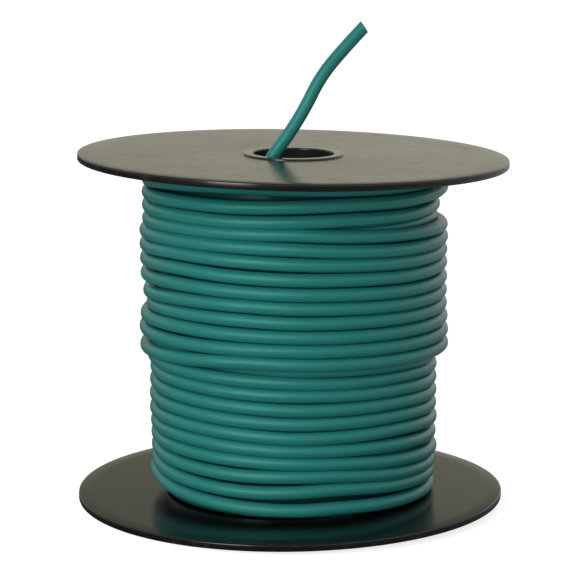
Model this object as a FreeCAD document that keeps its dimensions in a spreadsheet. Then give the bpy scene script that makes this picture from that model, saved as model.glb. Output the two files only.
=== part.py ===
import FreeCAD, Part
import math
import os
import Sketcher

# Wire spool: two round flanges on a tubular barrel, a hub bushing in each end,
# a winding of insulated wire, and the wire's inner end standing out of the bore.
# Millimetres, +Z up, the origin on the axis at the face that the spool stands on.

doc = FreeCAD.newDocument("WireSpool")
Vector = FreeCAD.Vector

SIZES = (
    ("flange_diameter", 101.6, "outside of both flanges"),
    ("flange_thickness", 1.6, "flange plate"),
    ("flange_edge_round", 0.7, "rounding of the flange rim"),
    ("traverse_width", 78.9, "space between the flanges"),
    ("seat_depth", 0.5, "how deep the barrel sits in each flange"),
    ("bushing_bore", 19.05, "spindle hole"),
    ("bushing_wall", 1.075, "wall of the bushing's sleeve"),
    ("bushing_length", 10.0, "length of a bushing, lip included"),
    ("lip_reach", 1.3, "how far the lip stands out past the sleeve"),
    ("lip_height", 0.35, "how far the lip stands off the flange"),
    ("lip_round", 0.5, "rounding of the lip's outer edge"),
    ("bore_round", 0.3, "rounding of the bore's two mouths"),
    ("barrel_wall", 2.0, "wall of the barrel tube"),
    ("barrel_chamfer", 0.3, "chamfer at the barrel's ends"),
    ("fit_clearance", 0.1, "radial play between parts that slip together"),
    ("start_hole_diameter", 4.2, "hole where the wire enters the bore"),
    ("start_hole_depth", 23.9, "from the spool's top face down to that hole"),
    ("start_hole_angle", 205.0, "bearing of that hole in degrees"),
    ("pack_depth", 21.5, "barrel surface to the centre of the first turns"),
    ("climb_rise", 0.9, "how much wider the middle turns lie"),
    ("drop_fall", 2.3, "how much narrower the lower turns lie"),
    ("turn_count", 23, "turns of the layer that shows"),
    ("turn_diameter", 2.8, "wire of the winding, drawn a little thin"),
    ("turn_margin", 0.35, "flange to the first and the last turn"),
    ("turn_gap", 0.1, "outer turns to the layers below"),
    ("core_margin", 0.25, "flange to the inner layers"),
    ("end_bend", 3.0, "bend where the layer's wire dives inwards"),
    ("jacket_diameter", 3.0, "wire of the free tail, over its insulation"),
    ("jacket_bore", 1.9, "hole in the insulation"),
    ("conductor_diameter", 1.8, "bundle of strands"),
)

sheet = doc.addObject("Spreadsheet::Sheet", "Sizes")
for row, (alias, value, note) in enumerate(SIZES, start=1):
    sheet.set("A%d" % row, str(value))
    sheet.setAlias("A%d" % row, alias)
    sheet.set("B%d" % row, note)
doc.recompute()

# Sizes that follow from the ones above.
SLEEVE_DIAMETER = "(Sizes.bushing_bore + 2 * Sizes.bushing_wall)"
LIP_DIAMETER = "(%s + 2 * Sizes.lip_reach)" % SLEEVE_DIAMETER
BARREL_BORE = "(%s + 2 * Sizes.fit_clearance)" % SLEEVE_DIAMETER
BARREL_DIAMETER = "(%s + 2 * Sizes.barrel_wall)" % BARREL_BORE
SEAT_DIAMETER = "(%s + 2 * Sizes.fit_clearance)" % BARREL_DIAMETER
INNER_FACE = "(Sizes.lip_height + Sizes.flange_thickness)"
UPPER_OUTER_FACE = "(%s + Sizes.traverse_width + Sizes.flange_thickness)" % INNER_FACE
OVERALL_HEIGHT = "(%s + Sizes.lip_height)" % UPPER_OUTER_FACE
TOP_TURN_RADIUS = "(%s / 2 + Sizes.pack_depth)" % BARREL_DIAMETER
MIDDLE_TURN_RADIUS = "(%s + Sizes.climb_rise)" % TOP_TURN_RADIUS
LOWER_TURN_RADIUS = "(%s - Sizes.drop_fall)" % MIDDLE_TURN_RADIUS
TURN_REACH = "(Sizes.turn_diameter / 2 + Sizes.turn_gap)"
FIRST_TURN_HEIGHT = "(Sizes.traverse_width - Sizes.turn_margin - Sizes.turn_diameter / 2)"
LAST_TURN_HEIGHT = "(Sizes.turn_margin + Sizes.turn_diameter / 2)"
TURN_PITCH = "((%s - %s) / Sizes.turn_count)" % (FIRST_TURN_HEIGHT, LAST_TURN_HEIGHT)

# Where the layer that shows changes its radius, in turns from its upper end.
CLIMB_START = 3.25
DROP_START = 13.0
CHANGE_SPAN = 0.5


def size(expression):
    """Value of an expression in the sheet's names, as a plain number."""
    return float(sheet.evalExpression(expression))


def origin_plane(body, role):
    return [item for item in body.Origin.OriginFeatures if item.Role == role][0]


def new_body(name):
    body = doc.addObject("PartDesign::Body", name)
    body.Label = name
    return body


def new_sketch(body, name, role, offset=None):
    """Sketch on one of the body's own origin planes, moved along its normal."""
    sketch = body.newObject("Sketcher::SketchObject", name)
    sketch.AttachmentSupport = (origin_plane(body, role), [""])
    sketch.MapMode = "FlatFace"
    if offset is not None:
        sketch.setExpression("AttachmentOffset.Base.z", offset)
    return sketch


def bind(sketch, constraint, name, expression):
    """Add a constraint whose value follows the sheet."""
    index = sketch.addConstraint(constraint)
    sketch.renameConstraint(index, name)
    sketch.setExpression("Constraints.%s" % name, expression)


def centred_circle(sketch, name, diameter):
    radius = size(diameter) / 2
    circle = sketch.addGeometry(Part.Circle(Vector(0, 0, 0), Vector(0, 0, 1), radius), False)
    sketch.addConstraint(Sketcher.Constraint("Coincident", circle, 3, -1, 1))
    bind(sketch, Sketcher.Constraint("Diameter", circle, 2 * radius), name, diameter)


def closed_profile(sketch, corners):
    """Closed outline through named corners, each held from the sketch's origin.

    A corner is (name, expression for x, expression for y).
    """
    points = [Vector(size(x), size(y), 0) for name, x, y in corners]
    count = len(points)
    lines = []
    for i in range(count):
        line = Part.LineSegment(points[i], points[(i + 1) % count])
        lines.append(sketch.addGeometry(line, False))
    for i in range(count):
        following = lines[(i + 1) % count]
        sketch.addConstraint(Sketcher.Constraint("Coincident", lines[i], 2, following, 1))
    for line, (name, x, y), point in zip(lines, corners, points):
        across = Sketcher.Constraint("DistanceX", -1, 1, line, 1, point.x)
        along = Sketcher.Constraint("DistanceY", -1, 1, line, 1, point.y)
        bind(sketch, across, name + "_x", x)
        bind(sketch, along, name + "_y", y)


def pad(body, name, sketch, length):
    feature = body.newObject("PartDesign::Pad", name)
    feature.Profile = sketch
    feature.setExpression("Length", length)
    doc.recompute()
    return feature


def pocket(body, name, sketch, depth):
    """Cut against the sketch's normal, and make sure that something was cut."""
    before = body.Shape.Volume
    feature = body.newObject("PartDesign::Pocket", name)
    feature.Profile = sketch
    feature.setExpression("Length", depth)
    doc.recompute()
    if body.Shape.Volume >= before - 0.01:
        raise RuntimeError("%s cuts nothing" % name)
    return feature


def revolve(body, name, sketch):
    feature = body.newObject("PartDesign::Revolution", name)
    feature.Profile = sketch
    feature.ReferenceAxis = (sketch, ["V_Axis"])
    feature.Angle = 360
    doc.recompute()
    return feature


def ring_edges(feature, rings):
    """Names of the circular edges with the given radius and height."""
    names = []
    for index, edge in enumerate(feature.Shape.Edges, start=1):
        if not isinstance(edge.Curve, Part.Circle):
            continue
        for radius, height in rings:
            same_radius = abs(edge.Curve.Radius - radius) < 0.001
            same_height = abs(edge.Curve.Center.z - height) < 0.001
            if same_radius and same_height and abs(edge.Curve.Axis.z) > 0.999:
                names.append("Edge%d" % index)
    if len(names) != len(rings):
        raise RuntimeError("%s: %d edges for %d rings" % (feature.Name, len(names), len(rings)))
    return names


def dress(body, kind, name, base, rings, amount):
    """Fillet or chamfer on circular edges."""
    feature = body.newObject("PartDesign::" + kind, name)
    feature.Base = (base, ring_edges(base, rings))
    value = "Radius" if kind == "Fillet" else "Size"
    feature.setExpression(value, amount)
    doc.recompute()
    return feature


def make_flange(name):
    """Flange with its outer face at height 0 and the barrel's seat in its inner face."""
    body = new_body(name)
    plate_sketch = new_sketch(body, name + "_plate_sketch", "XY_Plane")
    centred_circle(plate_sketch, "outside", "Sizes.flange_diameter")
    centred_circle(plate_sketch, "hole", BARREL_BORE)
    pad(body, name + "_plate", plate_sketch, "Sizes.flange_thickness")
    seat_sketch = new_sketch(body, name + "_seat_sketch", "XY_Plane", "Sizes.flange_thickness")
    centred_circle(seat_sketch, "seat", SEAT_DIAMETER)
    seat = pocket(body, name + "_seat", seat_sketch, "Sizes.seat_depth")
    rim = size("Sizes.flange_diameter / 2")
    rims = ((rim, 0.0), (rim, size("Sizes.flange_thickness")))
    amount = "min(Sizes.flange_edge_round; 0.45 * Sizes.flange_thickness)"
    dress(body, "Fillet", name + "_rim", seat, rims, amount)
    return body


def make_bushing(name):
    """Hub bushing with its lip's face at height 0 and its sleeve above."""
    body = new_body(name)
    sketch = new_sketch(body, name + "_sketch", "XZ_Plane")
    bore = "Sizes.bushing_bore / 2"
    lip = LIP_DIAMETER + " / 2"
    sleeve = SLEEVE_DIAMETER + " / 2"
    corners = (
        ("bore_low", bore, "0"),
        ("lip_low", lip, "0"),
        ("lip_high", lip, "Sizes.lip_height"),
        ("sleeve_low", sleeve, "Sizes.lip_height"),
        ("sleeve_high", sleeve, "Sizes.bushing_length"),
        ("bore_high", bore, "Sizes.bushing_length"),
    )
    closed_profile(sketch, corners)
    ring = revolve(body, name + "_ring", sketch)
    lip_rim = ((size(lip), 0.0),)
    amount = "min(Sizes.lip_round; 0.8 * Sizes.lip_height)"
    rounded = dress(body, "Fillet", name + "_lip_round", ring, lip_rim, amount)
    mouths = ((size(bore), 0.0), (size(bore), size("Sizes.bushing_length")))
    amount = "min(Sizes.bore_round; 0.45 * Sizes.bushing_wall)"
    dress(body, "Fillet", name + "_bore_round", rounded, mouths, amount)
    return body


def make_barrel(name):
    """Barrel tube, lower end at height 0, with the wire's start hole towards +Y."""
    body = new_body(name)
    tube_sketch = new_sketch(body, name + "_tube_sketch", "XY_Plane")
    centred_circle(tube_sketch, "outside", BARREL_DIAMETER)
    centred_circle(tube_sketch, "bore", BARREL_BORE)
    tube = pad(body, name + "_tube", tube_sketch, "Sizes.traverse_width + 2 * Sizes.seat_depth")
    top = size("Sizes.traverse_width + 2 * Sizes.seat_depth")
    outside = size(BARREL_DIAMETER) / 2
    ends = ((outside, 0.0), (outside, top))
    amount = "min(Sizes.barrel_chamfer; 0.8 * Sizes.seat_depth)"
    dress(body, "Chamfer", name + "_ends", tube, ends, amount)
    hole_sketch = new_sketch(body, name + "_hole_sketch", "XZ_Plane")
    below_top = "%s - Sizes.start_hole_depth" % OVERALL_HEIGHT
    hole_height = "%s - (%s - Sizes.seat_depth)" % (below_top, INNER_FACE)
    radius = size("Sizes.start_hole_diameter") / 2
    centre = Vector(0, size(hole_height), 0)
    hole = hole_sketch.addGeometry(Part.Circle(centre, Vector(0, 0, 1), radius), False)
    hole_sketch.addConstraint(Sketcher.Constraint("PointOnObject", hole, 3, -2))
    height = Sketcher.Constraint("DistanceY", -1, 1, hole, 3, centre.y)
    width = Sketcher.Constraint("Diameter", hole, 2 * radius)
    bind(hole_sketch, height, "hole_height", hole_height)
    bind(hole_sketch, width, "hole_width", "Sizes.start_hole_diameter")
    pocket(body, name + "_hole", hole_sketch, BARREL_DIAMETER)
    return body


def turn_height(turn):
    """Height of the layer's wire above the lower flange, by turns from its upper end."""
    return size(FIRST_TURN_HEIGHT) - size(TURN_PITCH) * turn


def make_inner_layers(name):
    """Plain drum for the layers below, stepped where the top layer climbs and drops."""
    body = new_body(name)
    sketch = new_sketch(body, name + "_sketch", "XZ_Plane")
    inside = BARREL_DIAMETER + " / 2 + Sizes.fit_clearance"
    low = "%s - %s" % (LOWER_TURN_RADIUS, TURN_REACH)
    middle = "%s - %s" % (MIDDLE_TURN_RADIUS, TURN_REACH)
    high = "%s - %s" % (TOP_TURN_RADIUS, TURN_REACH)
    # Each step is a shoulder that the changing turn clears by about the wire's own gap.
    drop = "%s - %s * %g" % (FIRST_TURN_HEIGHT, TURN_PITCH, DROP_START)
    drop_step = "%s + 0.3 * Sizes.turn_diameter" % drop
    climb = "%s - %s * %g" % (FIRST_TURN_HEIGHT, TURN_PITCH, CLIMB_START)
    climb_step = "%s - 0.75 * Sizes.turn_diameter" % climb
    bottom = "Sizes.core_margin"
    top = "Sizes.traverse_width - Sizes.core_margin"
    corners = (
        ("inside_low", inside, bottom),
        ("low_foot", low, bottom),
        ("low_head", low, drop_step),
        ("middle_foot", middle, drop_step),
        ("middle_head", middle, climb_step),
        ("high_foot", high, climb_step),
        ("high_head", high, top),
        ("inside_high", inside, top),
    )
    closed_profile(sketch, corners)
    revolve(body, name + "_drum", sketch)

    def wire_pocket(label, turn_radius, height, side):
        """Pocket at the back for one end of the layer's wire."""
        floor = "%s - Sizes.end_bend - Sizes.turn_diameter" % turn_radius
        near = "%d * (0 - 0.5 * Sizes.fit_clearance - 0.4)" % side
        reach = "Sizes.end_bend + Sizes.turn_diameter / 2 + 3 * Sizes.fit_clearance"
        far = "%d * (%s)" % (side, reach)
        half = "(Sizes.turn_diameter / 2 + 3 * Sizes.fit_clearance)"
        under = "%s - %s" % (height, half)
        over = "%s + %s" % (height, half)
        pocket_sketch = new_sketch(body, label + "_sketch", "XZ_Plane", "0 - (%s)" % floor)
        outline = (
            ("near_low", near, under),
            ("far_low", far, under),
            ("far_high", far, over),
            ("near_high", near, over),
        )
        closed_profile(pocket_sketch, outline)
        pocket(body, label, pocket_sketch, "Sizes.pack_depth")

    wire_pocket(name + "_start", TOP_TURN_RADIUS, FIRST_TURN_HEIGHT, 1)
    wire_pocket(name + "_finish", LOWER_TURN_RADIUS, LAST_TURN_HEIGHT, -1)
    return body


def arc_between(start, direction, end):
    """Circular arc from a point, leaving in a direction, to an end point."""
    chord = end - start
    half = chord.Length / 2
    along = Vector(chord).normalize()
    side = direction - along * direction.dot(along)
    angle = math.atan2(side.Length, direction.dot(along))
    radius = half / math.sin(angle)
    rise = radius * (1 - math.cos(angle))
    middle = (start + end) * 0.5 + side.normalize() * rise
    return Part.Arc(start, middle, end).toShape(), radius


def biarc(start, start_way, end, end_way):
    """Two tangent arcs between two points with given directions."""
    gap = end - start
    both = start_way + end_way
    lean = gap.dot(both)
    spread = 4 - both.dot(both)
    reach = (math.sqrt(lean * lean + spread * gap.dot(gap)) - lean) / spread
    joint = ((start + start_way * reach) + (end - end_way * reach)) * 0.5
    first, first_radius = arc_between(start, start_way, joint)
    back, second_radius = arc_between(end, end_way * -1, joint)
    curve = back.Curve
    middle = curve.value((back.FirstParameter + back.LastParameter) / 2)
    second = Part.Arc(joint, middle, end).toShape()
    return [first, second], min(first_radius, second_radius)


def swept_tube(path, start, way, diameter):
    """Solid round tube along a path of lines and arcs."""
    section = Part.Wire([Part.Circle(start, way, diameter / 2).toShape()])
    return Part.Wire(path).makePipeShell([section], True, False)


def outer_turns_shape():
    """The layer that shows: one wire that winds down, seen from above to the left."""
    turns = int(round(size("Sizes.turn_count")))
    top_radius = size(TOP_TURN_RADIUS)
    middle_radius = size(MIDDLE_TURN_RADIUS)
    lower_radius = size(LOWER_TURN_RADIUS)
    wire = size("Sizes.turn_diameter")
    bend = size("Sizes.end_bend")

    def ease(turn, begin):
        share = min(max((turn - begin) / CHANGE_SPAN, 0.0), 1.0)
        return share * share * (3 - 2 * share)

    def radius_at(turn):
        climbed = (middle_radius - top_radius) * ease(turn, CLIMB_START)
        dropped = (middle_radius - lower_radius) * ease(turn, DROP_START)
        return top_radius + climbed - dropped

    def point_at(turn):
        bearing = math.radians(90 + 360 * turn)
        radius = radius_at(turn)
        return Vector(radius * math.cos(bearing), radius * math.sin(bearing), turn_height(turn))

    def way_at(turn):
        step = 0.0005
        return (point_at(turn + step) - point_at(turn - step)).normalize()

    outward = Vector(0, 1, 0)
    path = []
    radii = [bend]
    # The upper end comes straight out of its pocket and bends into the first turn.
    first = point_at(0)
    level = Vector(way_at(0))
    level = (level - outward * level.dot(outward)).normalize()
    bend_start = first - outward * bend - level * bend
    tip = bend_start - outward * wire
    path.append(Part.LineSegment(tip, bend_start).toShape())
    path.append(arc_between(bend_start, outward, first)[0])
    quarters = 4 * turns
    here = first
    here_way = level
    for quarter in range(1, quarters + 1):
        there = point_at(quarter / 4)
        there_way = way_at(quarter / 4)
        if quarter == quarters:
            there_way = (there_way - outward * there_way.dot(outward)).normalize()
        arcs, least = biarc(here, here_way, there, there_way)
        path.extend(arcs)
        radii.append(least)
        here = there
        here_way = there_way
    # The lower end bends inwards and runs straight into its pocket.
    dive = here - outward * bend + here_way * bend
    path.append(arc_between(here, here_way, dive)[0])
    path.append(Part.LineSegment(dive, dive - outward * wire).toShape())
    shape = swept_tube(path, tip, outward, wire)
    length = sum(edge.Length for edge in path)
    samples = []
    for i in range(quarters * 6 + 1):
        samples.append((i / 24, point_at(i / 24)))
    gap = 1000.0
    for turn, place in samples:
        for other, elsewhere in samples:
            if other - turn >= 0.5:
                gap = min(gap, place.distanceToPoint(elsewhere) - wire)
    print("outer turns: least gap to itself %.3f mm, tightest radius %.2f mm" % (gap, min(radii)))
    report_tube("outer turns", shape, wire, 0, length)
    return shape


def report_tube(label, shape, outside, bore, length):
    """Print a tube's volume beside its section times its length."""
    section = math.pi / 4 * (outside * outside - bore * bore)
    text = "%s: length %.1f mm, volume %.1f, section times length %.1f"
    print(text % (label, length, shape.Volume, section * length))


def tail_points():
    """Route of the free end, heights from the spool's top face.

    Inside the bore a point is (distance past the wire's place at the wall,
    bearing from the start hole, height); outside it is x, y and height.
    """
    hole = size("Sizes.start_hole_angle")
    depth = size("Sizes.start_hole_depth")
    wall_side = size("(Sizes.bushing_bore - Sizes.jacket_diameter) / 2")
    outside = size(BARREL_DIAMETER) / 2
    inside_points = (
        (outside - wall_side, 0.0, -depth),
        (2.2, 0.0, -depth),
        (-0.1, 0.4, 1.4 - depth),
        (-1.1, 1.0, 4.0 - depth),
        (-1.2, 2.0, 7.9 - depth),
        (-0.85, 3.2, -10.8),
        (-0.1, 5.1, -4.8),
        (-0.97, 19.0, -0.3),
    )
    outside_points = (
        (-1.25, -5.3, 4.8),
        (2.55, -4.7, 11.0),
        (5.85, -3.9, 17.9),
        (10.45, -2.9, 23.8),
        (16.45, -1.8, 30.25),
    )
    points = []
    for offset, bearing, height in inside_points:
        radius = wall_side + offset
        angle = math.radians(hole + bearing)
        points.append(Vector(radius * math.cos(angle), radius * math.sin(angle), height))
    for x, y, height in outside_points:
        points.append(Vector(x, y, height))
    return points


def tail_path(points):
    """Straight runs joined by tangent arcs, each arc as large as its runs allow."""
    path = []
    radii = []
    here = points[0]
    for before, corner, after in zip(points, points[1:], points[2:]):
        arriving = corner - before
        leaving = after - corner
        cut = 0.45 * min(arriving.Length, leaving.Length)
        turn = arriving.getAngle(leaving)
        arriving.normalize()
        leaving.normalize()
        start = corner - arriving * cut
        end = corner + leaving * cut
        path.append(Part.LineSegment(here, start).toShape())
        path.append(arc_between(start, arriving, end)[0])
        radii.append(cut / math.tan(turn / 2))
        here = end
    path.append(Part.LineSegment(here, points[-1]).toShape())
    return path, radii


def add_feature(name, shape, height):
    """Plain feature for a swept piece, lifted to its height."""
    feature = doc.addObject("Part::Feature", name)
    feature.Label = name
    feature.Shape = shape
    feature.Placement = FreeCAD.Placement(Vector(0, 0, height), FreeCAD.Rotation())
    return feature


def lift(body, height):
    body.setExpression("Placement.Base.z", height)


def turn_over(body, height):
    """Stand a body on its head, its height 0 face at the given height."""
    body.Placement = FreeCAD.Placement(Vector(0, 0, 0), FreeCAD.Rotation(Vector(1, 0, 0), 180))
    body.setExpression("Placement.Base.z", height)


lower_flange = make_flange("lower_flange")
lift(lower_flange, "Sizes.lip_height")
upper_flange = make_flange("upper_flange")
turn_over(upper_flange, UPPER_OUTER_FACE)

lower_bushing = make_bushing("lower_bushing")
upper_bushing = make_bushing("upper_bushing")
turn_over(upper_bushing, OVERALL_HEIGHT)

barrel = make_barrel("barrel")
barrel.Placement = FreeCAD.Placement(Vector(0, 0, 0), FreeCAD.Rotation(Vector(0, 0, 1), 10))
lift(barrel, "%s - Sizes.seat_depth" % INNER_FACE)
barrel.setExpression("Placement.Rotation.Angle", "Sizes.start_hole_angle - 90")

inner_layers = make_inner_layers("wire_inner_layers")
lift(inner_layers, INNER_FACE)
outer_turns = add_feature("wire_outer_turns", outer_turns_shape(), size(INNER_FACE))

route = tail_points()
tail_edges, tail_radii = tail_path(route)
tail_start = route[0]
tail_way = route[1] - route[0]
tail_length = sum(edge.Length for edge in tail_edges)
print("tail: radii " + ", ".join("%.1f" % radius for radius in tail_radii))
jacket_size = size("Sizes.jacket_diameter")
jacket_hole = size("Sizes.jacket_bore")
strand_size = size("Sizes.conductor_diameter")
jacket_outside = swept_tube(tail_edges, tail_start, tail_way, jacket_size)
jacket_inside = swept_tube(tail_edges, tail_start, tail_way, jacket_hole)
jacket_shape = jacket_outside.cut(jacket_inside)
strand_shape = swept_tube(tail_edges, tail_start, tail_way, strand_size)
report_tube("tail insulation", jacket_shape, jacket_size, jacket_hole, tail_length)
report_tube("tail conductor", strand_shape, strand_size, 0, tail_length)
jacket = add_feature("wire_tail_jacket", jacket_shape, size(OVERALL_HEIGHT))
strands = add_feature("wire_tail_strands", strand_shape, size(OVERALL_HEIGHT))

doc.recompute()

parts = (
    lower_flange,
    upper_flange,
    barrel,
    lower_bushing,
    upper_bushing,
    inner_layers,
    outer_turns,
    jacket,
    strands,
)

for item in doc.Objects:
    if "Invalid" in item.State or "Error" in item.State:
        raise RuntimeError("%s failed: %s" % (item.Name, item.State))
for item in parts:
    if item.Shape.isNull() or not item.Shape.isValid():
        raise RuntimeError("%s has no valid shape" % item.Label)

os.makedirs("parts", exist_ok=True)
for item in parts:
    item.Shape.exportStep("parts/%s.step" % item.Label)
    box = item.Shape.BoundBox
    text = "%s: %d solid, volume %.1f mm3, z %.2f to %.2f"
    print(text % (item.Label, len(item.Shape.Solids), item.Shape.Volume, box.ZMin, box.ZMax))
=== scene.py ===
"""Wire spool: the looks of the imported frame, laid out as an add-on and run as a script.

Lengths are in metres and +Z is up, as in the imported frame.
"""

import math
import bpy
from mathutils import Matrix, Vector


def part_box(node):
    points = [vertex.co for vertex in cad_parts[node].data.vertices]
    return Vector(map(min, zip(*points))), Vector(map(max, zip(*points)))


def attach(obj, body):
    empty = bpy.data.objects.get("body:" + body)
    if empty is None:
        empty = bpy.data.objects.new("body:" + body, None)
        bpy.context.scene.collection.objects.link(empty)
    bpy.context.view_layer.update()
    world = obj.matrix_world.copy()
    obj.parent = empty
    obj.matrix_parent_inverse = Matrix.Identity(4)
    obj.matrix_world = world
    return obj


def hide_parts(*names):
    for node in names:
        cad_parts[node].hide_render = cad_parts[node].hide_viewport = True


bl_info = {
    "name": "Wire Spool",
    "version": (1, 0, 0),
    "blender": (4, 5, 0),
    "location": "3D View > Sidebar > Spool",
    "description": "Dresses the packed frame of a spool of insulated wire",
    "category": "Object",
}

import bmesh
import bpy
from mathutils import Matrix, Vector
from mathutils.noise import noise

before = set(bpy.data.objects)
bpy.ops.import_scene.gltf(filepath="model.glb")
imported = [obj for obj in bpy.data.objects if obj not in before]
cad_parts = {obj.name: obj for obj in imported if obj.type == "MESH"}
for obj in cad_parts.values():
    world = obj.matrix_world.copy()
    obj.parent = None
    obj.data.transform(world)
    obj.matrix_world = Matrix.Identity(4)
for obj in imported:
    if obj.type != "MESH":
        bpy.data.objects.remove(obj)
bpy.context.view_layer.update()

# Heights of the flanges' faces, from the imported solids.
BOTTOM_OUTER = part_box("lower_flange")[0].z
BOTTOM_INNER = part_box("lower_flange")[1].z
TOP_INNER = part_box("upper_flange")[0].z
TOP_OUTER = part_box("upper_flange")[1].z
FLANGE_DIAMETER = 2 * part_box("upper_flange")[1].x

# The photograph's viewpoint: place in metres, tilt downwards and roll in degrees,
# and the lens in millimetres on a frame 36 mm wide.
CAMERA_PLACE = (-0.000485, -0.56747, 0.15511)
CAMERA_TILT = 10.501
CAMERA_ROLL = 0.6
CAMERA_LENS = 150.505
CAMERA_FRAME = 36.0

MM_PER_METRE = 1000
WELD_DISTANCE = 1e-7

# Route of the wire's free end: out of the barrel's start hole, up the bore and away.
TAIL_ROUTE = (
    (-0.011510, -0.005367, 0.05890),
    (-0.009267, -0.004321, 0.05890),
    (-0.007159, -0.003399, 0.06030),
    (-0.006224, -0.003036, 0.06290),
    (-0.006081, -0.003098, 0.06680),
    (-0.006323, -0.003391, 0.07200),
    (-0.006856, -0.003974, 0.07800),
    (-0.005075, -0.004901, 0.08250),
    (-0.001250, -0.005300, 0.08760),
    (0.002550, -0.004700, 0.09380),
    (0.005850, -0.003900, 0.10070),
    (0.010450, -0.002900, 0.10660),
    (0.016450, -0.001800, 0.11305),
)

# The layer of wire that shows, turn by turn from the top, in millimetres. The
# first seven numbers are the wire's height at seven bearings from the left side
# over the front to the right side, and the last three its radius at the left,
# the front and the right.
BEARINGS = (-90, -50, -20, 0, 20, 50, 90)
TURNS = (
    (76.65, 78.25, 79.00, 78.95, 78.75, 78.60, 78.70, 34.45, 34.35, 34.70),
    (73.65, 74.25, 74.50, 74.95, 75.30, 75.25, 75.65, 34.45, 34.35, 34.70),
    (70.60, 71.00, 71.12, 71.50, 71.80, 71.55, 71.55, 34.40, 34.25, 32.85),
    (67.45, 68.20, 68.45, 68.60, 68.10, 67.40, 66.60, 34.35, 34.25, 34.75),
    (64.50, 65.40, 65.60, 65.40, 64.80, 64.00, 63.75, 35.00, 34.95, 34.90),
    (61.20, 62.46, 62.37, 62.08, 61.67, 61.05, 60.68, 34.95, 34.95, 34.80),
    (57.85, 59.03, 58.78, 58.55, 58.39, 57.85, 57.63, 34.85, 34.95, 34.85),
    (54.30, 55.40, 55.39, 55.18, 55.02, 54.49, 54.18, 34.70, 34.95, 34.90),
    (50.15, 51.85, 52.25, 52.02, 51.83, 51.37, 50.96, 34.10, 34.85, 34.90),
    (47.40, 48.52, 48.92, 48.68, 48.60, 48.28, 47.81, 33.25, 34.85, 35.00),
    (44.62, 45.47, 45.57, 45.44, 45.33, 45.12, 44.72, 34.70, 34.95, 35.25),
    (41.50, 41.91, 42.32, 42.32, 42.19, 41.95, 41.40, 34.95, 35.05, 35.45),
    (37.05, 38.20, 39.30, 39.22, 39.05, 38.80, 38.15, 34.80, 34.95, 35.45),
    (34.65, 34.90, 34.70, 34.45, 34.20, 34.15, 33.05, 33.00, 32.85, 32.90),
    (31.75, 31.90, 31.64, 31.50, 31.40, 31.05, 29.88, 32.40, 32.75, 32.90),
    (28.60, 28.65, 28.44, 28.16, 28.16, 28.00, 26.60, 32.50, 32.75, 32.95),
    (25.20, 25.46, 25.22, 24.92, 24.98, 24.85, 23.46, 32.50, 32.75, 32.95),
    (21.70, 22.30, 22.01, 21.60, 21.72, 21.68, 20.15, 32.50, 32.75, 33.15),
    (18.55, 19.13, 18.88, 18.60, 18.54, 18.05, 16.55, 32.25, 32.65, 32.95),
    (15.70, 15.92, 15.88, 15.65, 15.42, 14.30, 12.90, 32.15, 32.65, 33.25),
    (12.70, 12.45, 12.38, 12.62, 12.55, 11.10, 9.85, 32.05, 32.65, 33.00),
    (9.90, 9.00, 8.62, 9.00, 9.42, 8.30, 7.30, 32.10, 32.65, 32.90),
    (7.00, 5.60, 4.90, 4.70, 5.00, 4.49, 4.06, 32.30, 32.65, 32.80),
)

# Wire of the layer below where it shows between those turns, as (bearing, height,
# radius) in degrees and millimetres.
UNDER_WIRES = (
    (
        (-15, 68.6, 29.5),
        (20, 68.8, 31.2),
        (50, 68.8, 31.8),
        (75, 68.9, 32.2),
        (95, 69.0, 32.3),
        (125, 68.9, 31.6),
        (160, 68.6, 29.5),
    ),
    (
        (-40, 37.0, 30.5),
        (-15, 37.25, 31.6),
        (0, 37.45, 32.8),
        (20, 37.5, 33.6),
        (50, 37.3, 33.9),
        (72, 36.4, 33.2),
        (100, 35.2, 30.5),
    ),
    (
        (20, 16.6, 28.9),
        (40, 16.4, 30.3),
        (60, 15.9, 30.6),
        (90, 14.8, 30.6),
        (120, 14.3, 28.9),
    ),
    (
        (-140, 39.3, 29.5),
        (-110, 39.3, 32.2),
        (-75, 39.4, 32.6),
        (-50, 40.0, 32.4),
        (-20, 40.8, 29.5),
    ),
)


class SpoolSizes(bpy.types.PropertyGroup):
    """Sizes of the spool's pieces."""

    wire_diameter: bpy.props.FloatProperty(
        name="Wire diameter",
        description="Outside of the insulation",
        default=0.003,
        min=0.001,
        subtype="DISTANCE",
        unit="LENGTH",
    )
    bore_diameter: bpy.props.FloatProperty(
        name="Jacket bore",
        description="Inside of the insulation, round the copper",
        default=0.0019,
        min=0.0005,
        subtype="DISTANCE",
        unit="LENGTH",
    )
    strand_diameter: bpy.props.FloatProperty(
        name="Strand diameter",
        description="One of the nineteen copper strands",
        default=0.00036,
        min=0.0001,
        subtype="DISTANCE",
        unit="LENGTH",
    )
    pack_shift: bpy.props.FloatProperty(
        name="Winding shift",
        description="How far the winding sits to the right of the flanges' centre",
        default=0.0003,
        subtype="DISTANCE",
        unit="LENGTH",
    )
    flange_diameter: bpy.props.FloatProperty(
        name="Flange diameter",
        description="Outside of both flanges",
        default=FLANGE_DIAMETER,
        subtype="DISTANCE",
        unit="LENGTH",
    )
    rim_round: bpy.props.FloatProperty(
        name="Rim rounding",
        description="Radius along a flange's rim",
        default=0.0003,
        subtype="DISTANCE",
        unit="LENGTH",
    )
    top_lean: bpy.props.FloatProperty(
        name="Top flange lean",
        description="How far the top flange's right edge stands above its true height",
        default=-0.00046,
        subtype="DISTANCE",
        unit="LENGTH",
    )
    bottom_twist: bpy.props.FloatProperty(
        name="Bottom flange twist",
        description="How far the bottom flange is twisted out of flat",
        default=-0.00042,
        subtype="DISTANCE",
        unit="LENGTH",
    )
    bottom_lean: bpy.props.FloatProperty(
        name="Bottom flange lean",
        description="How far the bottom flange's right edge stands above its true height",
        default=0.00072,
        subtype="DISTANCE",
        unit="LENGTH",
    )


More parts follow.
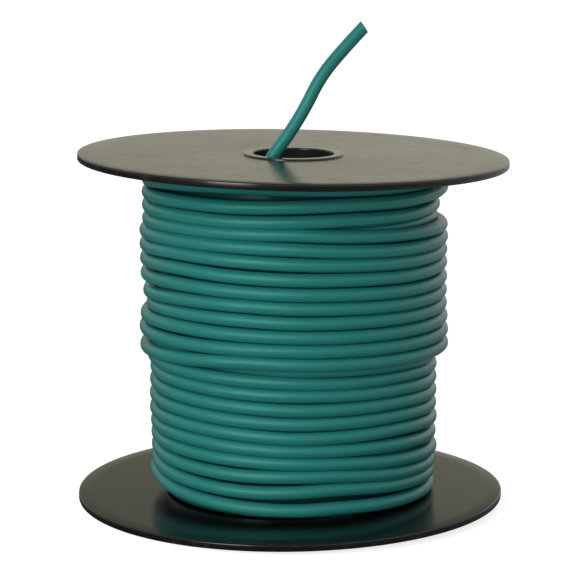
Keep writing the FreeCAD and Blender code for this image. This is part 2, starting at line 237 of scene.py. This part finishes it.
class SpoolColours(bpy.types.PropertyGroup):
    """Colours of the spool's finishes."""

    insulation: bpy.props.FloatVectorProperty(
        name="Insulation",
        description="Green of the wire's insulation",
        default=(0.015, 0.160, 0.143),
        size=3,
        min=0,
        max=1,
        subtype="COLOR",
    )
    plastic: bpy.props.FloatVectorProperty(
        name="Flange plastic",
        description="Dark moulded plastic of the two flanges",
        default=(0.0030, 0.0028, 0.0022),
        size=3,
        min=0,
        max=1,
        subtype="COLOR",
    )
    # Painted light: the flanges' plastic, painted four times lighter to light up the shaded
    # bore.
    bushing: bpy.props.FloatVectorProperty(
        name="Hub plastic",
        description="Duller plastic of the barrel and the two bushings",
        default=(0.0125, 0.0130, 0.0105),
        size=3,
        min=0,
        max=1,
        subtype="COLOR",
    )
    copper: bpy.props.FloatVectorProperty(
        name="Copper",
        description="Bare strands at the wire's cut end",
        default=(0.78, 0.36, 0.20),
        size=3,
        min=0,
        max=1,
        subtype="COLOR",
    )


def smooth(share):
    """Ease from 0 to 1 with level ends."""
    share = min(max(share, 0.0), 1.0)
    return share * share * (3 - 2 * share)


class Shade:
    """Output socket of a shader node. Python's operators on it add Math nodes."""

    def __init__(self, tree, socket=None):
        self.tree = tree
        self.socket = socket

    def add(self, kind, settings=None, values=None, out=0):
        """Add a node from its type, its settings and its sockets' values or links."""
        node = self.tree.nodes.new("ShaderNode" + kind)
        for name, value in (settings or {}).items():
            setattr(node, name, value)
        for name, value in (values or {}).items():
            target = node.inputs[name]
            if isinstance(value, Shade):
                self.tree.links.new(value.socket, target)
            else:
                target.default_value = value
        return Shade(self.tree, node.outputs[out])

    def math(self, operation, *values):
        return self.add("Math", {"operation": operation}, dict(enumerate(values)))

    def __add__(self, other):
        return self.math("ADD", self, other)

    def __radd__(self, other):
        return self.math("ADD", other, self)

    def __sub__(self, other):
        return self.math("SUBTRACT", self, other)

    def __rsub__(self, other):
        return self.math("SUBTRACT", other, self)

    def __mul__(self, other):
        return self.math("MULTIPLY", self, other)

    def __rmul__(self, other):
        return self.math("MULTIPLY", other, self)

    def within(self, low, high):
        """0 below the first value, 1 above the second, eased between them."""
        values = {"Value": self, "From Min": low, "From Max": high}
        return self.add("MapRange", {"interpolation_type": "SMOOTHSTEP"}, values)

    def blend(self, first, second):
        """First colour where this is 0, second where it is 1."""
        values = {"Factor": self, "A": first, "B": second}
        return self.add("Mix", {"data_type": "RGBA"}, values, out="Result")

    def noise(self, vector, scale, detail, roughness):
        """Noise from 0 to 1 with a scale in cells per metre."""
        values = {"Vector": vector, "Scale": scale, "Detail": detail, "Roughness": roughness}
        return self.add("TexNoise", {}, values)

    def vector(self, x, y, z):
        return self.add("CombineXYZ", {}, {0: x, 1: y, 2: z})

    def parts(self, vector):
        split = self.add("SeparateXYZ", {}, {0: vector})
        return [Shade(self.tree, output) for output in split.socket.node.outputs]

    def bump(self, height, strength, distance):
        values = {"Height": height, "Strength": strength, "Distance": distance}
        return self.add("Bump", {}, values)

    def ray_is(self, kind):
        """1 on rays of one kind, such as Camera, and 0 on all others."""
        return self.add("LightPath", out=f"Is {kind} Ray")


def new_material(name, fixed):
    """Material with one Principled shader whose fixed values are set on its own sockets."""
    material = bpy.data.materials.new(name)
    material.use_nodes = True
    shader = material.node_tree.nodes["Principled BSDF"]
    for socket, value in fixed.items():
        shader.inputs[socket].default_value = value
    return material, Shade(material.node_tree), shader


def feed(shade, shader, links):
    """Link what varies over the surface, or with the view's rays, to the shader's sockets."""
    for socket, value in links.items():
        shade.tree.links.new(value.socket, shader.inputs[socket])


def colour4(colour, gain=1.0):
    """Colour with full alpha, lighter or darker by a gain."""
    return (*[min(channel * gain, 1.0) for channel in colour], 1.0)


def insulation_material(name, length, diameter, colour, dull=0.0):
    """Extruded insulation, on the wire's own UV map: along it, and round it."""
    fixed = {"IOR": 1.5, "Specular IOR Level": 0.42, "Specular Tint": (0.5, 1.0, 1.0, 1.0)}
    material, shade, shader = new_material(name, fixed)
    round_it, along, _ = shade.parts(shade.add("UVMap", {"uv_map": "UVMap"}))
    angle = round_it * (2 * math.pi)
    side = shade.math("COSINE", angle) * (diameter / 2)
    over = shade.math("SINE", angle) * (diameter / 2)
    run = along * length
    skin = shade.vector(run, side, over)
    slow = shade.vector(run * 0.12, side, over)
    drawn = shade.vector(run * 0.03, side, over)
    batches = shade.noise(slow, 260.0, 2.0, 0.5)
    blotches = shade.noise(skin, 420.0, 3.0, 0.6)
    lines = shade.noise(drawn, 5200.0, 2.0, 0.5)
    grain = shade.noise(skin, 9000.0, 2.0, 0.6)
    dust = shade.noise(skin, 1500.0, 4.0, 0.7).within(0.56, 0.72)
    tone = batches.within(0.3, 0.7).blend(colour4(colour, 0.86), colour4(colour, 1.14))
    spots = blotches.within(0.35, 0.75) * 0.35
    tone = spots.blend(tone, colour4(colour, 0.72))
    chalk = tuple(0.75 * channel + 0.06 for channel in colour)
    tone = (dust * 0.16).blend(tone, colour4(chalk))
    rough = 0.17 + dull + blotches * 0.10 + dust * 0.12 + lines * 0.04
    bump = shade.bump(lines * 0.5 + grain * 0.3 + blotches * 0.9, 0.35, 0.00008)
    feed(shade, shader, {"Base Color": tone, "Roughness": rough, "Normal": bump})
    return material


def plastic_material(name, colour, roughness, radius=None):
    """Dark moulded plastic with fine swirl, rub marks and a paler worn rim."""
    fixed = {"IOR": 1.5, "Specular IOR Level": 0.51, "Specular Tint": (1.0, 0.985, 0.93, 1.0)}
    material, shade, shader = new_material(name, fixed)
    place = shade.add("TexCoord", out="Object")
    x, y, z = shade.parts(place)
    reach = shade.math("SQRT", x * x + y * y)
    clouds = shade.noise(place, 45.0, 4.0, 0.6)
    mottle = shade.noise(place, 700.0, 3.0, 0.6)
    pores = shade.noise(place, 3800.0, 2.0, 0.5)
    turned = shade.noise(shade.vector(reach, z * 0.2, clouds * 0.002), 1500.0, 2.0, 0.6)
    # Fine rub marks, about thirty times as long as they are wide, run in two directions.
    long_way = shade.vector(x * 0.9 + y * 0.44, (y * 0.9 - x * 0.44) * 0.03, z * 0.3)
    cross_way = shade.vector(x * 0.3 - y * 0.95, (y * 0.3 + x * 0.95) * 0.03, z * 0.3)
    rubs = shade.noise(long_way, 2600.0, 2.0, 0.4).within(0.70, 0.78)
    rubs = rubs + shade.noise(cross_way, 2200.0, 2.0, 0.4).within(0.71, 0.79)
    dust = shade.noise(place, 260.0, 5.0, 0.72).within(0.52, 0.75)
    tone = clouds.within(0.3, 0.7).blend(colour4(colour, 0.85), colour4(colour, 1.2))
    tone = (mottle * 0.4).blend(tone, colour4(colour, 1.5))
    dusty, scuffed = (0.012, 0.011, 0.009), (0.030, 0.028, 0.025)
    tone = (dust * 0.25).blend(tone, colour4(dusty))
    if radius is not None:
        worn = reach.within(radius - 0.0011, radius - 0.0002) * dust
        tone = (worn * 0.5).blend(tone, colour4(scuffed))
    rough = roughness + clouds * 0.05 + dust * 0.05 + rubs * 0.05 + pores * 0.02
    height = mottle * 0.6 + pores * 0.25 + turned * 0.35 - rubs * 0.4
    bump = shade.bump(height, 0.10, 0.00005)
    feed(shade, shader, {"Base Color": tone, "Roughness": rough, "Normal": bump})
    return material


def copper_material(name, colour):
    """Drawn copper, a little tarnished along the strands."""
    material, shade, shader = new_material(name, {"Metallic": 1.0, "IOR": 1.5})
    place = shade.add("TexCoord", out="Object")
    x, y, z = shade.parts(place)
    tarnish = shade.noise(place, 1400.0, 3.0, 0.6)
    drawn = shade.noise(shade.vector(x, y, z * 0.08), 9000.0, 2.0, 0.5)
    browned = (0.42, 0.20, 0.12)
    tone = tarnish.within(0.4, 0.7).blend(colour4(colour), colour4(browned))
    rough = 0.22 + tarnish * 0.25
    bump = shade.bump(drawn, 0.3, 0.00003)
    feed(shade, shader, {"Base Color": tone, "Roughness": rough, "Normal": bump})
    return material


def add_piece(name, mesh, material, node):
    """Link a finished piece with its material, and tie it to the frame in a solid's place."""
    piece = bpy.data.objects.new(name, mesh)
    bpy.context.scene.collection.objects.link(piece)
    mesh.materials.append(material)
    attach(piece, "root")
    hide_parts(node)
    return piece


def mesh_from(bm, name, angle=35.0):
    """Mesh from a bmesh, smooth except at edges sharper than the angle."""
    mesh = bpy.data.meshes.new(name)
    bm.to_mesh(mesh)
    bm.free()
    mesh.shade_smooth()
    mesh.set_sharp_from_angle(angle=math.radians(angle))
    return mesh


def curve_mesh(name, lines, depth, sides, kind="POLY", caps=False, steps=12):
    """Mesh of a bevelled curve through the given lines of points; depth 0 gives the line."""
    curve = bpy.data.curves.new(name, "CURVE")
    curve.dimensions = "3D"
    curve.twist_mode = "Z_UP"
    curve.resolution_u = steps
    curve.bevel_depth = depth
    curve.bevel_resolution = max(0, sides // 2 - 2)
    curve.use_fill_caps = caps
    for line in lines:
        spline = curve.splines.new(kind)
        spline.points.add(len(line) - 1)
        for point, place in zip(spline.points, line):
            point.co = (*place, 1)
        if kind == "NURBS":
            spline.order_u = 3
            spline.use_endpoint_u = True
    holder = bpy.data.objects.new(name, curve)
    bpy.context.scene.collection.objects.link(holder)
    bpy.context.view_layer.update()
    evaluated = holder.evaluated_get(bpy.context.evaluated_depsgraph_get())
    mesh = bpy.data.meshes.new_from_object(evaluated)
    mesh.name = name
    bpy.data.objects.remove(holder)
    bpy.data.curves.remove(curve)
    return mesh


def spun(profile, steps=192):
    """Closed ring of revolution round +Z from a closed profile of (radius, height)."""
    bm = bmesh.new()
    corners = [bm.verts.new((radius, 0, height)) for radius, height in profile]
    edges = []
    for i, corner in enumerate(corners):
        edges.append(bm.edges.new((corner, corners[(i + 1) % len(corners)])))
    bmesh.ops.spin(
        bm,
        geom=corners + edges,
        cent=(0, 0, 0),
        axis=(0, 0, 1),
        dvec=(0, 0, 0),
        angle=2 * math.pi,
        steps=steps,
        use_merge=True,
        use_duplicate=False,
    )
    bmesh.ops.remove_doubles(bm, verts=bm.verts, dist=WELD_DISTANCE)
    bmesh.ops.recalc_face_normals(bm, faces=bm.faces)
    return bm


def cut_off(bm, place, way):
    """Cut away what lies beyond a plane."""
    bmesh.ops.bisect_plane(
        bm,
        geom=bm.verts[:] + bm.edges[:] + bm.faces[:],
        plane_co=place,
        plane_no=way,
        clear_outer=True,
    )


def run_of(points):
    """Length along a line of points."""
    return sum((b - a).length for a, b in zip(points, points[1:]))


def round_axis(shift, radius, degrees, height):
    """Point at a radius, bearing and height round an axis shifted to the right."""
    angle = math.radians(degrees)
    return Vector((shift + radius * math.cos(angle), radius * math.sin(angle), height))


def turn_stations():
    """Points of the wound layer that shows, as (turn, height, radius)."""
    stations = []
    for turn, row in enumerate(TURNS):
        heights, (left, front, right) = row[:-3], row[-3:]
        for bearing, height in zip(BEARINGS, heights):
            if bearing < 0:
                radius = left + (front - left) * smooth(1 + bearing / 90)
            else:
                radius = front + (right - front) * smooth(bearing / 90)
            place = (turn + 0.5 + bearing / 360, height / MM_PER_METRE, radius / MM_PER_METRE)
            stations.append(place)
        if turn + 1 < len(TURNS):
            # At the back the wire is halfway between this row's right and the next one's left.
            following = TURNS[turn + 1]
            height = (heights[-1] + following[0]) / 2
            radius = (right + following[-3]) / 2
            stations.append((turn + 1.0, height / MM_PER_METRE, radius / MM_PER_METRE))
    first, last = stations[0], stations[-1]
    # Behind the first and the last measured place the wire rises and falls a little more.
    end_rise, end_fall = 0.0011, 0.0003
    stations.insert(0, (0.0, first[1] + end_rise, first[2]))
    stations.append((float(len(TURNS)), last[1] - end_fall, last[2]))
    return stations


def through(stations, place, column):
    """Value of a column at a place, on a smooth curve through stations in order of place."""
    i = 0
    while i < len(stations) - 2 and stations[i + 1][0] <= place:
        i += 1

    def slope(k):
        low, high = max(k - 1, 0), min(k + 1, len(stations) - 1)
        rise = stations[high][column] - stations[low][column]
        return rise / (stations[high][0] - stations[low][0])

    start, end = stations[i], stations[i + 1]
    span = end[0] - start[0]
    t = (place - start[0]) / span
    value = (2 * t**3 - 3 * t * t + 1) * start[column]
    value += (t**3 - 2 * t * t + t) * span * slope(i)
    value += (3 * t * t - 2 * t**3) * end[column]
    value += (t**3 - t * t) * span * slope(i + 1)
    return value


class SPOOL_OT_camera(bpy.types.Operator):
    """Set up the camera at the photograph's viewpoint"""

    bl_idname = "spool.camera"
    bl_label = "Camera"

    def execute(self, context):
        data = bpy.data.cameras.new("spool_camera")
        data.lens = CAMERA_LENS
        data.sensor_width = CAMERA_FRAME
        data.clip_start = 0.01
        data.clip_end = 50.0
        camera = bpy.data.objects.new("spool_camera", data)
        context.scene.collection.objects.link(camera)
        tilt, roll = math.radians(CAMERA_TILT), math.radians(CAMERA_ROLL)
        forward = Vector((0, math.cos(tilt), -math.sin(tilt)))
        right = Vector((1, 0, 0))
        up = Vector((0, math.sin(tilt), math.cos(tilt)))
        rolled_right = right * math.cos(roll) + up * math.sin(roll)
        rolled_up = up * math.cos(roll) - right * math.sin(roll)
        turn = Matrix((rolled_right, rolled_up, -forward)).transposed()
        camera.matrix_world = Matrix.Translation(CAMERA_PLACE) @ turn.to_4x4()
        context.scene.camera = camera
        return {"FINISHED"}


class SPOOL_OT_tail(bpy.types.Operator):
    """Make the wire's free end: its insulation and the copper strands inside"""

    bl_idname = "spool.tail"
    bl_label = "Wire tail"

    def execute(self, context):
        sizes, colours = context.scene.spool_sizes, context.scene.spool_colours
        line = self.along_route("tail_line", 0.0, 0)
        points = [vertex.co.copy() for vertex in line.vertices]
        bpy.data.meshes.remove(line)
        # The cutters left the end at a slant, longer at its upper left.
        trimmed, lean = 0.0005, 0.17
        heading = (points[-1] - points[-2]).normalized()
        tip = points[-1] - heading * trimmed
        slant = (heading + Vector((lean, 0.0, -lean * heading.x / heading.z))).normalized()
        skin = self.along_route("tail_skin", sizes.wire_diameter / 2, 28)
        bore = self.along_route("tail_bore", sizes.bore_diameter / 2, 28)
        bm = bmesh.new()
        bm.from_mesh(skin)
        outer_faces = len(bm.faces)
        bm.from_mesh(bore)
        bm.faces.ensure_lookup_table()
        bmesh.ops.reverse_faces(bm, faces=bm.faces[outer_faces:])
        cut_off(bm, tip, slant)
        bmesh.ops.remove_doubles(bm, verts=bm.verts, dist=WELD_DISTANCE)
        # The wall is closed at the cut end and at the start hole, which this height parts.
        middle = 0.09
        rims = [edge for edge in bm.edges if edge.is_boundary]
        high = [edge for edge in rims if edge.verts[0].co.z > middle]
        low = [edge for edge in rims if edge.verts[0].co.z <= middle]
        for rim in (high, low):
            bmesh.ops.bridge_loops(bm, edges=rim)
        bmesh.ops.recalc_face_normals(bm, faces=bm.faces)
        for mesh in (skin, bore):
            bpy.data.meshes.remove(mesh)
        # Handling has left the free end duller than the winding.
        dull = 0.14
        material = insulation_material(
            "tail_insulation", run_of(points), sizes.wire_diameter, colours.insulation, dull
        )
        jacket = add_piece(
            "tail_insulation",
            mesh_from(bm, "tail_insulation"),
            material,
            node="wire_tail_jacket",
        )
        bare = add_piece(
            "tail_strands",
            self.strands(points, tip, slant, sizes.strand_diameter),
            copper_material("tail_copper", colours.copper),
            node="wire_tail_strands",
        )
        return {"FINISHED"}

    def along_route(self, name, radius, sides):
        """Tube along the tail's route, or the bare line at radius 0."""
        return curve_mesh(name, [TAIL_ROUTE], radius, sides, "NURBS", steps=16)

    def strands(self, points, tip, slant, diameter):
        """Nineteen twisted strands along the tail, cut off with the insulation."""
        # Length of one full twist, thickness as a share, and how deep the cut end lies.
        twist_length, thinned, sunk = 0.026, 0.98, 0.0001
        # A middle strand, six round it and twelve outside, as (reach, bearing).
        places = [(0.0, 0.0)]
        places += [(diameter, 60.0 * i) for i in range(6)]
        places += [(2 * diameter, 30.0 * i + 15.0) for i in range(12)]
        lines = [[] for _ in places]
        way = (points[1] - points[0]).normalized()
        side = way.orthogonal().normalized()
        gone = 0.0
        for i, point in enumerate(points):
            low, high = points[max(i - 1, 0)], points[min(i + 1, len(points) - 1)]
            new_way = (high - low).normalized()
            side = (way.rotation_difference(new_way) @ side).normalized()
            way = new_way
            over = way.cross(side)
            gone += (point - points[max(i - 1, 0)]).length
            for line, (reach, bearing) in zip(lines, places):
                angle = math.radians(bearing) + 2 * math.pi * gone / twist_length
                offset = side * math.cos(angle) + over * math.sin(angle)
                line.append(point + offset * reach)
        mesh = curve_mesh("strand_tubes", lines, diameter / 2 * thinned, 8, caps=True)
        bm = bmesh.new()
        bm.from_mesh(mesh)
        bpy.data.meshes.remove(mesh)
        cut_off(bm, tip - slant * sunk, slant)
        bmesh.ops.holes_fill(bm, edges=[edge for edge in bm.edges if edge.is_boundary])
        return mesh_from(bm, "tail_strands", 50.0)


class SPOOL_OT_winding(bpy.types.Operator):
    """Wind the layer of wire that shows, with what shows of the wire under it"""

    bl_idname = "spool.winding"
    bl_label = "Wound wire"

    def execute(self, context):
        sizes, colours = context.scene.spool_sizes, context.scene.spool_colours
        line = self.tucked_in(self.seen_layer(sizes.pack_shift), sizes.pack_shift)
        lines = [line] + [self.seen_below(wire, sizes.pack_shift) for wire in UNDER_WIRES]
        # The soft insulation is pressed together, so no daylight shows between turns.
        pressed_in = 0.00009
        radius = sizes.wire_diameter / 2 + pressed_in
        mesh = curve_mesh("wound_wire", lines, radius, 20, caps=True)
        mesh.shade_smooth()
        material = insulation_material(
            "wound_insulation", run_of(line), sizes.wire_diameter, colours.insulation
        )
        add_piece("wound_wire", mesh, material, node="wire_outer_turns")
        return {"FINISHED"}

    def seen_layer(self, shift):
        """Line of the layer that shows, from its top end at the back."""
        stations = turn_stations()
        per_turn = 96
        # Hand-laid wire wanders a little between the measured places.
        wanders_per_turn, wander_reach = 3.1, 0.00006
        line = []
        for i in range(len(TURNS) * per_turn + 1):
            turn = i / per_turn
            wander = noise(Vector((turn * wanders_per_turn, 0.0, 0.0))) * wander_reach
            radius = through(stations, turn, 2) + wander
            line.append(round_axis(shift, radius, 90 + 360 * turn, through(stations, turn, 1)))
        return line

    def tucked_in(self, line, shift):
        """The same line with both ends bent inwards into the winding, at the back."""
        bend_radius, bend_steps, stub = 0.003, 8, 0.003
        for end, inward in ((0, 1), (-1, -1)):
            tip = line[end]
            lead = (line[end] - line[end + inward]).normalized()
            centre = Vector((shift, 0, tip.z))
            inwards = (centre - tip).normalized()
            bend = []
            for step in range(1, bend_steps + 1):
                angle = math.radians(90 * step / bend_steps)
                ahead = lead * math.sin(angle) * bend_radius
                aside = inwards * (1 - math.cos(angle)) * bend_radius
                bend.append(tip + (ahead + aside))
            bend.append(bend[-1] + inwards * stub)
            line = bend[::-1] + line if end == 0 else line + bend
        return line

    def seen_below(self, wire, shift):
        """Line of one arc of the layer below, with a point every few degrees."""
        degrees = 4
        line = []
        for bearing in range(wire[0][0], wire[-1][0] + 1, degrees):
            height, radius = through(wire, bearing, 1), through(wire, bearing, 2)
            place = round_axis(shift * MM_PER_METRE, radius, 270 + bearing, height)
            line.append(place / MM_PER_METRE)
        return line


class SPOOL_OT_core(bpy.types.Operator):
    """Make the layers below: a drum of wire with its last layer's turns on it"""

    bl_idname = "spool.core"
    bl_label = "Layers below"

    def execute(self, context):
        sizes, colours = context.scene.spool_sizes, context.scene.spool_colours
        half = sizes.wire_diameter / 2
        low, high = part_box("wire_inner_layers")
        drum = self.drum(low.z, high.z, half)
        line = self.last_layer(low.z + half, high.z - half, half, sizes.pack_shift)
        tube = curve_mesh("under_turns", [line], half, 16, caps=True)
        drum.from_mesh(tube)
        bpy.data.meshes.remove(tube)
        mesh = mesh_from(drum, "under_layers", 60.0)
        # Painted shade: the colour is cut to a quarter, for the shade under the turns over it.
        painted_shade = 0.25
        colour = [painted_shade * channel for channel in colours.insulation]
        material = insulation_material("under_insulation", run_of(line), half * 2, colour)
        add_piece("under_layers", mesh, material, node="wire_inner_layers")
        return {"FINISHED"}

    def outer(self, height):
        """Outside of the layers below at a height, with one step up and one down."""
        lowest_radius, step_up, step_down = 0.0303, 0.0026, 0.0010
        up_from, down_from, ramp = 0.0340, 0.0630, 0.003
        up = smooth((height - BOTTOM_INNER - up_from) / ramp)
        down = smooth((height - BOTTOM_INNER - down_from) / ramp)
        return lowest_radius + step_up * up - step_down * down

    def drum(self, bottom, top, half):
        """Ring round the barrel, with the last layer's turns sunk in it."""
        clearance, proud, rows = 0.0001, 0.4, 56
        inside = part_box("barrel")[1].x + clearance
        profile = [(inside, bottom)]
        for i in range(rows + 1):
            height = bottom + (top - bottom) * i / rows
            profile.append((self.outer(height) - proud * half, height))
        profile.append((inside, top))
        return spun(profile, 96)

    def last_layer(self, bottom, top, half, shift):
        """Line of the last layer's turns, which lie deeper next to a flange."""
        pitch, per_turn, first_bearing = 0.00315, 60, 40
        deeper, deeper_within, ramp = 0.0015, 0.008, 0.004
        turns = (top - bottom) / pitch
        steps = int(turns * per_turn)
        line = []
        for i in range(steps + 1):
            turn = turns * i / steps
            height = bottom + (top - bottom) * i / steps
            from_flange = min(height - BOTTOM_INNER, TOP_INNER - height)
            sunk = deeper * smooth((deeper_within - from_flange) / ramp)
            radius = self.outer(height) - half - sunk
            line.append(round_axis(shift * 0.5, radius, first_bearing + 360 * turn, height))
        return line


class SPOOL_OT_flanges(bpy.types.Operator):
    """Make the two flanges, each a thin moulded disc that is a little out of true"""

    bl_idname = "spool.flanges"
    bl_label = "Flanges"

    def execute(self, context):
        sizes, colours = context.scene.spool_sizes, context.scene.spool_colours
        material = plastic_material(
            "flange_plastic",
            colours.plastic,
            roughness=0.17,
            radius=sizes.flange_diameter / 2,
        )
        faces = (
            ("bottom_flange", "lower_flange", BOTTOM_OUTER, BOTTOM_INNER),
            ("top_flange", "upper_flange", TOP_OUTER, TOP_INNER),
        )
        trues = ((sizes.bottom_lean, sizes.bottom_twist), (sizes.top_lean, 0.0))
        # Radii of the hole and of the shallow seat for the barrel, and the seat's depth.
        hole, seat, seat_depth = 0.0107, 0.0128, 0.0005
        # The hub keeps the disc true out to the first radius, and it bends over the next width.
        true_radius, bend_width = 0.0135, 0.014
        rim, near = sizes.flange_diameter / 2, 1e-5
        rows = [hole, seat, 0.016, 0.021, 0.027, 0.034, 0.041, 0.047, rim]
        for (name, node, outer, inner), (lean, twist) in zip(faces, trues):
            floor = inner - seat_depth if inner > outer else inner + seat_depth
            profile = [(radius, outer) for radius in rows]
            profile += [(radius, inner) for radius in reversed(rows[1:])]
            profile += [(seat, floor), (hole, floor)]
            bm = spun(profile)
            # The rim's two edges are the level ones at the full radius.
            edges = []
            for edge in bm.edges:
                a, b = edge.verts
                level = abs(a.co.z - b.co.z) < near
                if level and min(a.co.xy.length, b.co.xy.length) > rim - near:
                    edges.append(edge)
            bmesh.ops.bevel(
                bm,
                geom=edges,
                offset=sizes.rim_round,
                offset_type="OFFSET",
                affect="EDGES",
                segments=5,
                profile=0.5,
                material=-1,
            )
            for vert in bm.verts:
                share = smooth((vert.co.xy.length - true_radius) / bend_width)
                bend = lean * vert.co.x / rim + twist * vert.co.x * vert.co.y / rim**2
                vert.co.z += bend * share
            bmesh.ops.recalc_face_normals(bm, faces=bm.faces)
            add_piece(name, mesh_from(bm, name), material, node=node)
        return {"FINISHED"}


class SPOOL_OT_hub(bpy.types.Operator):
    """Finish the barrel and the two hub bushings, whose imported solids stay"""

    bl_idname = "spool.hub"
    bl_label = "Hub"

    def execute(self, context):
        colours = context.scene.spool_colours
        # Painted light: a lighter copy of the flanges' plastic, for light in the shaded bore.
        hub = plastic_material("hub_plastic", colours.bushing, roughness=0.13)
        for node in ("barrel", "lower_bushing", "upper_bushing"):
            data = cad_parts[node].data
            data.materials.clear()
            data.materials.append(hub)
        return {"FINISHED"}


class SPOOL_OT_stage(bpy.types.Operator):
    """Set up the floor, the white surround and the soft lamps"""

    bl_idname = "spool.stage"
    bl_label = "Stage"

    def execute(self, context):
        scene = context.scene
        scene.view_settings.view_transform = "Standard"
        bm = bmesh.new()
        bmesh.ops.create_grid(bm, x_segments=1, y_segments=1, size=6.0)
        floor_mesh = bpy.data.meshes.new("floor")
        bm.to_mesh(floor_mesh)
        bm.free()
        floor = bpy.data.objects.new("floor", floor_mesh)
        # The bottom flange is out of true, and its low edge dips below its face.
        floor.location.z = -0.0005
        scene.collection.objects.link(floor)
        floor_mesh.materials.append(self.floor_material())
        self.world(scene)
        # Each lamp's name, place, width, height and watts, and whether it is mirrored.
        lamps = (
            ("key", (-0.70, -1.10, 0.45), 0.50, 0.9, 10.2, True),
            ("left", (-1.15, -0.55, 0.35), 0.9, 0.9, 4.6, False),
            ("front", (0.05, -1.5, 0.14), 1.4, 0.9, 5.6, False),
            ("right", (1.15, -0.75, 0.12), 0.9, 0.8, 1.0, False),
            ("top", (0.0, 0.1, 1.4), 1.2, 1.0, 1.4, False),
        )
        middle = Vector((0, 0, 0.045))
        for name, place, width, height, power, mirrored in lamps:
            data = bpy.data.lights.new(name, "AREA")
            data.shape = "RECTANGLE"
            data.size = width
            data.size_y = height
            data.energy = power
            lamp = bpy.data.objects.new(name, data)
            scene.collection.objects.link(lamp)
            lamp.location = place
            lamp.visible_glossy = mirrored
            way = middle - Vector(place)
            lamp.rotation_euler = way.to_track_quat("-Z", "Y").to_euler()
        return {"FINISHED"}

    def floor_material(self):
        """Pale floor that a camera sees as white with the object's soft shadow."""
        fixed = {"Roughness": 0.9, "Specular IOR Level": 0.0, "Emission Color": (1, 1, 1, 1)}
        material, shade, shader = new_material("floor", fixed)
        # Painted reflection: as the plastic mirrors it, the floor is painted dim, and bright
        # towards the far right.
        across, deep, _ = shade.parts(shade.add("TexCoord", out="Object"))
        far_right = across.within(-0.05, 0.22) * deep.within(-0.6, 0.2)
        mirrored = far_right.blend((0.12, 0.118, 0.11, 1), (0.76, 0.80, 0.78, 1))
        tone = shade.ray_is("Glossy").blend((0.50, 0.50, 0.50, 1), mirrored)
        glow = shade.ray_is("Camera") * 0.80
        feed(shade, shader, {"Base Color": tone, "Emission Strength": glow})
        return material

    def world(self, scene):
        """White surround for the camera and for reflections, softer as a light."""
        world = bpy.data.worlds.new("surround")
        world.use_nodes = True
        scene.world = world
        shade = Shade(world.node_tree)
        glossy = shade.ray_is("Glossy")
        clear = shade.math("MAXIMUM", shade.ray_is("Camera"), shade.ray_is("Transmission"))
        across, deep, rise = shade.parts(shade.add("TexCoord", out="Generated"))
        # The flanges mirror a low patch of backdrop, the wire's edges the rest. The numbers
        # are directions from -1 to 1 and brightnesses.
        aside = shade.math("ABSOLUTE", across).within(0.16, 0.32)
        patch = rise.within(0.02, 0.08) * deep.within(0.4, 0.7) * (1 - aside)
        haze = 1 - rise.within(0.18, 0.27)
        to_right = across.within(-0.15, 0.15)
        low = 0.246 - to_right * 0.03 + haze * (0.405 + to_right * 0.11)
        rest = 0.44 + across.within(-0.5, 0.7) * 0.62 + (-1 * across).within(0.3, 0.7) * 0.3
        rest = rest * (1 - rise.within(0.15, 0.5) * 0.4)
        mirrored = rest + patch * (low - rest)
        tint = (glossy * patch).blend((1, 1, 1, 1), (1, 0.985, 0.78, 1))
        plain = 0.44
        level = plain + clear * (1 - plain) + glossy * (mirrored - plain)
        background = world.node_tree.nodes["Background"]
        feed(shade, background, {"Color": tint, "Strength": level})


class SPOOL_PT_panel(bpy.types.Panel):
    """Sidebar panel with the spool's sizes, colours and steps"""

    bl_idname = "SPOOL_PT_panel"
    bl_label = "Wire Spool"
    bl_space_type = "VIEW_3D"
    bl_region_type = "UI"
    bl_category = "Spool"

    def draw(self, context):
        for group in (context.scene.spool_sizes, context.scene.spool_colours):
            box = self.layout.box()
            for name in group.__annotations__:
                box.prop(group, name)
        column = self.layout.column()
        for operator in OPERATORS:
            column.operator(operator.bl_idname)


OPERATORS = (
    SPOOL_OT_camera,
    SPOOL_OT_tail,
    SPOOL_OT_winding,
    SPOOL_OT_core,
    SPOOL_OT_flanges,
    SPOOL_OT_hub,
    SPOOL_OT_stage,
)
CLASSES = (SpoolSizes, SpoolColours, *OPERATORS, SPOOL_PT_panel)


def register():
    for item in CLASSES:
        bpy.utils.register_class(item)
    bpy.types.Scene.spool_sizes = bpy.props.PointerProperty(type=SpoolSizes)
    bpy.types.Scene.spool_colours = bpy.props.PointerProperty(type=SpoolColours)


def unregister():
    del bpy.types.Scene.spool_colours
    del bpy.types.Scene.spool_sizes
    for item in reversed(CLASSES):
        bpy.utils.unregister_class(item)


def main():
    register()
    bpy.ops.spool.camera()
    bpy.ops.spool.tail()
    bpy.ops.spool.winding()
    bpy.ops.spool.core()
    bpy.ops.spool.flanges()
    bpy.ops.spool.hub()
    bpy.ops.spool.stage()


if __name__ == "__main__":
    main()
